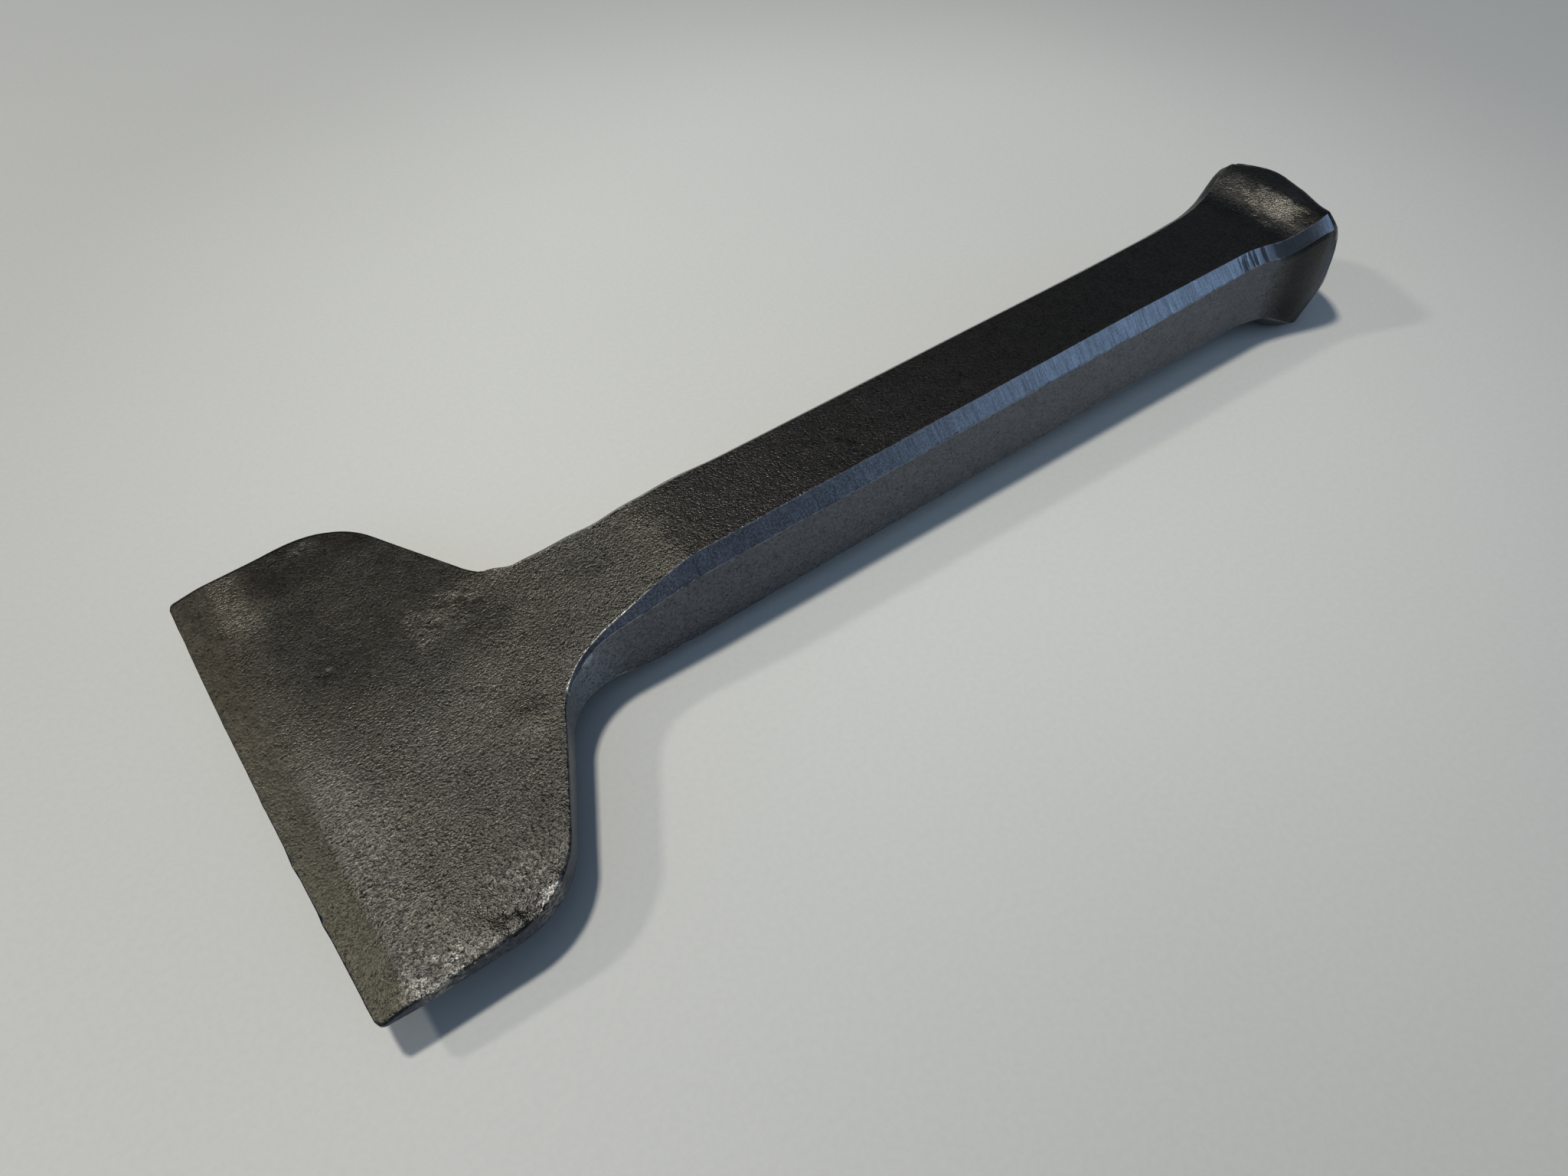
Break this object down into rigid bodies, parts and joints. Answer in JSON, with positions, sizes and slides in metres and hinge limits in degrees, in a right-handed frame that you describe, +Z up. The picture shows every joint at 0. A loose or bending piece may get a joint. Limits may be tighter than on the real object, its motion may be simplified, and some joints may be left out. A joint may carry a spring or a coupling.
{
  "type": "flat chisel",
  "caption": "One-piece forged steel flat chisel: wide thin blade with rounded shoulders, square shank with ground corner facets, flared head with a crowned striking face.",
  "frame": {"origin": "on the surface that the tool rests on, under the middle of the tool's bounding box", "axes": "+X along the tool from the cutting edge to the struck head, +Z up from the surface; the tool lies on the heel of its shank and the rim of its head, so its own axis rises 1.3 degrees towards the head"},
  "size_m": [0.2104, 0.0762, 0.0241],
  "materials": {
    "forged_steel": "dark shot-blasted forging skin, with ground corner facets"
  },
  "bodies": {
    "root": {"forged_chisel": "forged_steel"}
  },
  "joints": []
}
